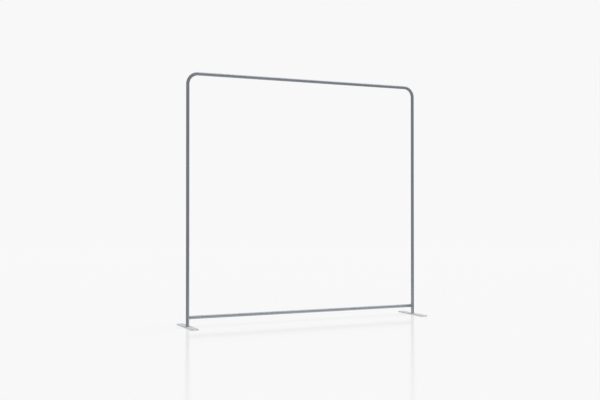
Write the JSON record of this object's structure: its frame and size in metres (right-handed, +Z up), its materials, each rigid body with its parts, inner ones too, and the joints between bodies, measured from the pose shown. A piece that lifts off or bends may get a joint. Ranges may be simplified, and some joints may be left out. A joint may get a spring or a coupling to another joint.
{
  "type": "display wall frame",
  "caption": "Free-standing display wall frame of round tube: uprights, top rail with bent corners, low cross rail, snap-button plug joints and flat swivelling feet.",
  "frame": {"origin": "on the floor, midway between the uprights, in the plane of their centre lines", "axes": "+X along the frame, to the right of someone in front of it; +Y to the back, where the buttons are; +Z up"},
  "size_m": [2.44, 0.45, 2.3],
  "materials": {
    "frame_tube": "satin grey anodised",
    "spigot_aluminium": "mill finish",
    "button_steel": "bright zinc plated",
    "spring_steel": "tempered strip",
    "rivet_aluminium": "plain",
    "foot_steel": "light grey powder coat, fine texture",
    "plug_nylon": "moulded nylon",
    "plated_steel": "zinc plated"
  },
  "bodies": {
    "frame": {"left_lower_upright": "frame_tube", "left_corner_tube": "frame_tube", "left_top_rail": "frame_tube", "left_bottom_rail": "frame_tube", "left_rail_stub": "frame_tube", "left_foot_plug": "plug_nylon", "left_foot_nut": "plated_steel", "left_foot_bolt": "plated_steel", "right_lower_upright": "frame_tube", "right_corner_tube": "frame_tube", "right_top_rail": "frame_tube", "right_bottom_rail": "frame_tube", "right_rail_stub": "frame_tube", "right_foot_plug": "plug_nylon", "right_foot_nut": "plated_steel", "right_foot_bolt": "plated_steel", "left_upright_spigot": "spigot_aluminium", "left_upright_spring": "spring_steel", "left_top_spigot": "spigot_aluminium", "left_top_spring": "spring_steel", "left_rail_spigot": "spigot_aluminium", "left_rail_spring": "spring_steel", "right_upright_spigot": "spigot_aluminium", "right_upright_spring": "spring_steel", "right_top_spigot": "spigot_aluminium", "right_top_spring": "spring_steel", "right_rail_spigot": "spigot_aluminium", "right_rail_spring": "spring_steel", "middle_top_spigot": "spigot_aluminium", "middle_top_spring": "spring_steel", "middle_rail_spigot": "spigot_aluminium", "middle_rail_spring": "spring_steel", "spigot_rivets": "rivet_aluminium"},
    "left_foot": {"left_foot_plate": "foot_steel"},
    "right_foot": {"right_foot_plate": "foot_steel"},
    "left_upright_snap": {"left_upright_button": "button_steel"},
    "left_top_snap": {"left_top_button": "button_steel"},
    "left_rail_snap": {"left_rail_button": "button_steel"},
    "right_upright_snap": {"right_upright_button": "button_steel"},
    "right_top_snap": {"right_top_button": "button_steel"},
    "right_rail_snap": {"right_rail_button": "button_steel"},
    "middle_top_snap": {"middle_top_button": "button_steel"},
    "middle_rail_snap": {"middle_rail_button": "button_steel"}
  },
  "joints": [
    {"name": "left_foot_swivel", "type": "hinge", "parent": "frame", "child": "left_foot", "pos_m": [-1.185, 0, 0], "axis": [0, 0, 1], "continuous": true},
    {"name": "right_foot_swivel", "type": "hinge", "parent": "frame", "child": "right_foot", "pos_m": [1.185, 0, 0], "axis": [0, 0, 1], "continuous": true},
    {"name": "left_upright_press", "type": "slide", "parent": "frame", "child": "left_upright_snap", "axis": [0, -1, 0], "range_m": [0, 0.005], "stiffness_N_per_m": 2000, "deforming": ["left_upright_spring"]},
    {"name": "left_top_press", "type": "slide", "parent": "frame", "child": "left_top_snap", "axis": [0, -1, 0], "range_m": [0, 0.005], "stiffness_N_per_m": 2000, "deforming": ["left_top_spring"]},
    {"name": "left_rail_press", "type": "slide", "parent": "frame", "child": "left_rail_snap", "axis": [0, -1, 0], "range_m": [0, 0.005], "stiffness_N_per_m": 2000, "deforming": ["left_rail_spring"]},
    {"name": "right_upright_press", "type": "slide", "parent": "frame", "child": "right_upright_snap", "axis": [0, -1, 0], "range_m": [0, 0.005], "stiffness_N_per_m": 2000, "deforming": ["right_upright_spring"]},
    {"name": "right_top_press", "type": "slide", "parent": "frame", "child": "right_top_snap", "axis": [0, -1, 0], "range_m": [0, 0.005], "stiffness_N_per_m": 2000, "deforming": ["right_top_spring"]},
    {"name": "right_rail_press", "type": "slide", "parent": "frame", "child": "right_rail_snap", "axis": [0, -1, 0], "range_m": [0, 0.005], "stiffness_N_per_m": 2000, "deforming": ["right_rail_spring"]},
    {"name": "middle_top_press", "type": "slide", "parent": "frame", "child": "middle_top_snap", "axis": [0, -1, 0], "range_m": [0, 0.005], "stiffness_N_per_m": 2000, "deforming": ["middle_top_spring"]},
    {"name": "middle_rail_press", "type": "slide", "parent": "frame", "child": "middle_rail_snap", "axis": [0, -1, 0], "range_m": [0, 0.005], "stiffness_N_per_m": 2000, "deforming": ["middle_rail_spring"]}
  ]
}
